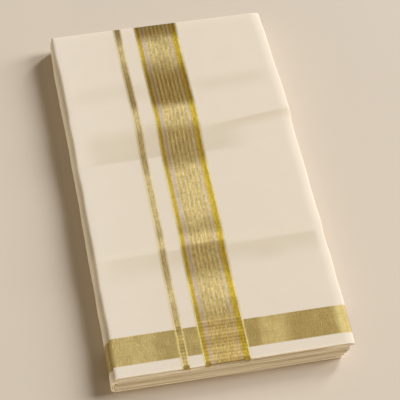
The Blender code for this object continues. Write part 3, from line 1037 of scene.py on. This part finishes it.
def striped_zari(tree, spot, border):
    """The zari where the thin line and the band lie over the border."""
    stripe = stripe_at(tree, spot)
    shine = ribbed_shine(tree, spot, stripe, border.shine)
    groove_shade = stripe_groove_shade(tree, spot, stripe, shine)
    shine = add(tree, MATHS, stripe.outline, stripe.crossed, shine, **TIMES_PLUS)
    colour = add(tree, MIX, stripe.gold, border.colour, stripe_colour(tree, stripe), **COLOURS)
    # Painted shade of the grooves.
    colour = add(tree, MIX, 1.0, colour, groove_shade, **MULTIPLIED)
    colour = add(tree, MIX, stripe.outline, colour, linear(OUTLINE_THREAD), **COLOURS)
    gold = add(tree, MATHS, border.gold, stripe.gold, operation="MAXIMUM")
    gold = add(tree, MATHS, gold, stripe.outline, operation="MAXIMUM")
    more = add(tree, MATHS, stripe.gold, BAND_FLECKED, border.flecked, **TIMES_PLUS)
    even = add(tree, MATHS, stripe.pale, -PALE_LESS_FLECKED, 1.0, **TIMES_PLUS)
    flecked = add(tree, MATHS, more, even, **TIMES)
    crossed = add(tree, MATHS, stripe.crossed, stripe.gold, **TIMES)
    ribbed = add(tree, MATHS, crossed, CROSSED_RIBBED, border.ribbed, **TIMES_PLUS)
    return Zari(gold, colour, shine, flecked, ribbed)


print("fine lines in the band, mm apart:", FINE_LINE_MM)

# %% [markdown]
# What the border and the stripes share comes last: gold with no painted shine left is
# painted brown, flecks and ribs make it glitter with painted glints, and the cotton is slubby
# and has painted shade in a crease. The relief is bump, because the weave and the zari stand
# out by less than a tenth of a millimetre. The finish is that of the real yarns: cotton is
# rough, with a faint sheen from its nap, and zari is smoother and part metallic, because its
# metal strip leaves gaps over the yarn.

# %% The cloth's material


def glittering(tree, spot, zari, fleck):
    # Painted reflection: the gold keeps its colour where it shines and turns brown where the
    # painted shine is lost. Flecks and ribs add painted glints.
    kept = add(tree, MIX, zari.shine, SHINE_LOST, WHITE, **COLOURS)
    colour = add(tree, MIX, 1.0, zari.colour, kept, **MULTIPLIED)
    fleck = add(tree, MATHS, fleck, 0.5, operation="SUBTRACT")
    glitter = add(tree, MATHS, fleck, zari.flecked, 1.0, **TIMES_PLUS)
    ribs = wave(tree, spot.along, RIB_MM)
    glitter = add(tree, MATHS, ribs, zari.ribbed, glitter, **TIMES_PLUS)
    return add(tree, MIX, 1.0, colour, glitter, **MULTIPLIED)


def creased_cotton(tree, spot):
    slub = add(tree, NOISE, spot.woven, 1 / SLUB, 3.0)
    cotton = add(tree, MIX, slub, linear(COTTON_LOW), linear(COTTON_HIGH), **COLOURS)
    shade = add(tree, "ShaderNodeAttribute", attribute_name="shade").node.outputs["Fac"]
    half = add(tree, MATHS, shade, 0.5, **TIMES)
    tint = add(tree, MIX, half, WHITE, CREASE_TINT, **COLOURS)
    return add(tree, MIX, 1.0, cotton, tint, **MULTIPLIED)


def relief(tree, spot, gold, fleck):
    """Millimetres above the cotton's face."""
    warp, weft = wave(tree, spot.along, WEAVE_MM), wave(tree, spot.across, WEAVE_MM)
    weave = add(tree, MATHS, warp, weft, **TIMES)
    weave = add(tree, MATHS, weave, WEAVE_RELIEF, **TIMES)
    raised = add(tree, MATHS, gold, ZARI_RELIEF, weave, **TIMES_PLUS)
    flecks = add(tree, MATHS, fleck, gold, **TIMES)
    return add(tree, MATHS, flecks, FLECK_RELIEF, raised, **TIMES_PLUS)


def kasavu(name, with_stripes):
    material, tree, shader = new_material(name)
    spot = spot_on_cloth(tree)
    zari, highlit = border_zari(tree, spot)
    fleck_size = (FLECK_LENGTH, FLECK_WIDTH, 1.0)
    if with_stripes:
        zari = striped_zari(tree, spot, zari)
        fleck_size = (FLECK_WIDTH, FLECK_LENGTH, 1.0)
    cells = add(tree, "ShaderNodeVectorMath", spot.woven, fleck_size, operation="SNAP")
    fleck = add(tree, "ShaderNodeTexWhiteNoise", cells, noise_dimensions="2D")

    gold_colour = glittering(tree, spot, zari, fleck)
    colour = add(tree, MIX, zari.gold, creased_cotton(tree, spot), gold_colour, **COLOURS)
    metallic = add(tree, MATHS, zari.gold, ZARI_METALLIC, **TIMES)
    rough = add(tree, RANGE, zari.gold, 0.0, 1.0, COTTON_ROUGH, ZARI_ROUGH)
    # The zari is also rougher under the painted highlight, which spreads the lamps' own highlight
    # there.
    rough = add(tree, MATHS, highlit, HIGHLIGHT_ROUGHER, rough, **TIMES_PLUS)
    bump = add(tree, "ShaderNodeBump", 1.0, MM)
    tree.links.new(relief(tree, spot, zari.gold, fleck), bump.node.inputs["Height"])
    for socket, source in (("Base Color", colour), ("Metallic", metallic),
                           ("Roughness", rough), ("Normal", bump)):
        tree.links.new(source, shader.inputs[socket])
    shader.inputs["Sheen Weight"].default_value = 0.12
    shader.inputs["Sheen Roughness"].default_value = 0.5
    shader.inputs["Specular IOR Level"].default_value = 0.3
    return material


striped_cotton = kasavu("kasavu_cotton_with_stripes", True)
bordered_cotton = kasavu("kasavu_cotton_with_border", False)
print("nodes in the striped cotton:", len(striped_cotton.node_tree.nodes))

# %% [markdown]
# The loose ends are bare zari, twisted, so deep and pale gold alternate along each one. Both golds
# are also painted darker than the woven zari, as painted shade, where the ends hang under the
# front edge.

# %% Loose gold thread
THREAD_TWIST = 0.67 * MM
# Both are painted darker than the woven gold, as painted shade under the front edge.
THREAD_DARK, THREAD_LIGHT = "#A5842F", "#D5B75E"
zari_thread, tree, shader = new_material("zari_thread")
place = add(tree, "ShaderNodeTexCoord").node.outputs["Object"]
twist = add(tree, NOISE, place, 1 / THREAD_TWIST, 1.0)
twist = add(tree, MIX, twist, linear(THREAD_DARK), linear(THREAD_LIGHT), **COLOURS)
tree.links.new(twist, shader.inputs["Base Color"])
shader.inputs["Metallic"].default_value = 0.6
shader.inputs["Roughness"].default_value = 0.4
print("materials:", [material.name for material in bpy.data.materials])

# %% [markdown]
# ## The pieces on the pack's body
# Each piece gets its material and rides on the pack's one body, and the CAD nodes that the
# leaves stand in for are hidden. Then the flat size of each leaf's cloth is worked out:
# once round the leaf, and the pack's length.

# %% Bodies, hidden nodes and cloth sizes
for piece, material in ((top_leaf, striped_cotton), (wrapped_leaf, bordered_cotton),
                        (inner_leaf, bordered_cotton), (inner_stack, bordered_cotton),
                        (thread_ends, zari_thread)):
    piece.data.materials.append(material)
    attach(piece, "root")
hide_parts("top_leaf")
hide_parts("outer_wrap")
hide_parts("inner_leaf")
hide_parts("inner_stack")

stack_width, stack_length = leaf_cut(stack_spine(1))
leaf_cut(top_spine)
leaf_cut(wrap_spine)
leaf_cut(inner_spine)
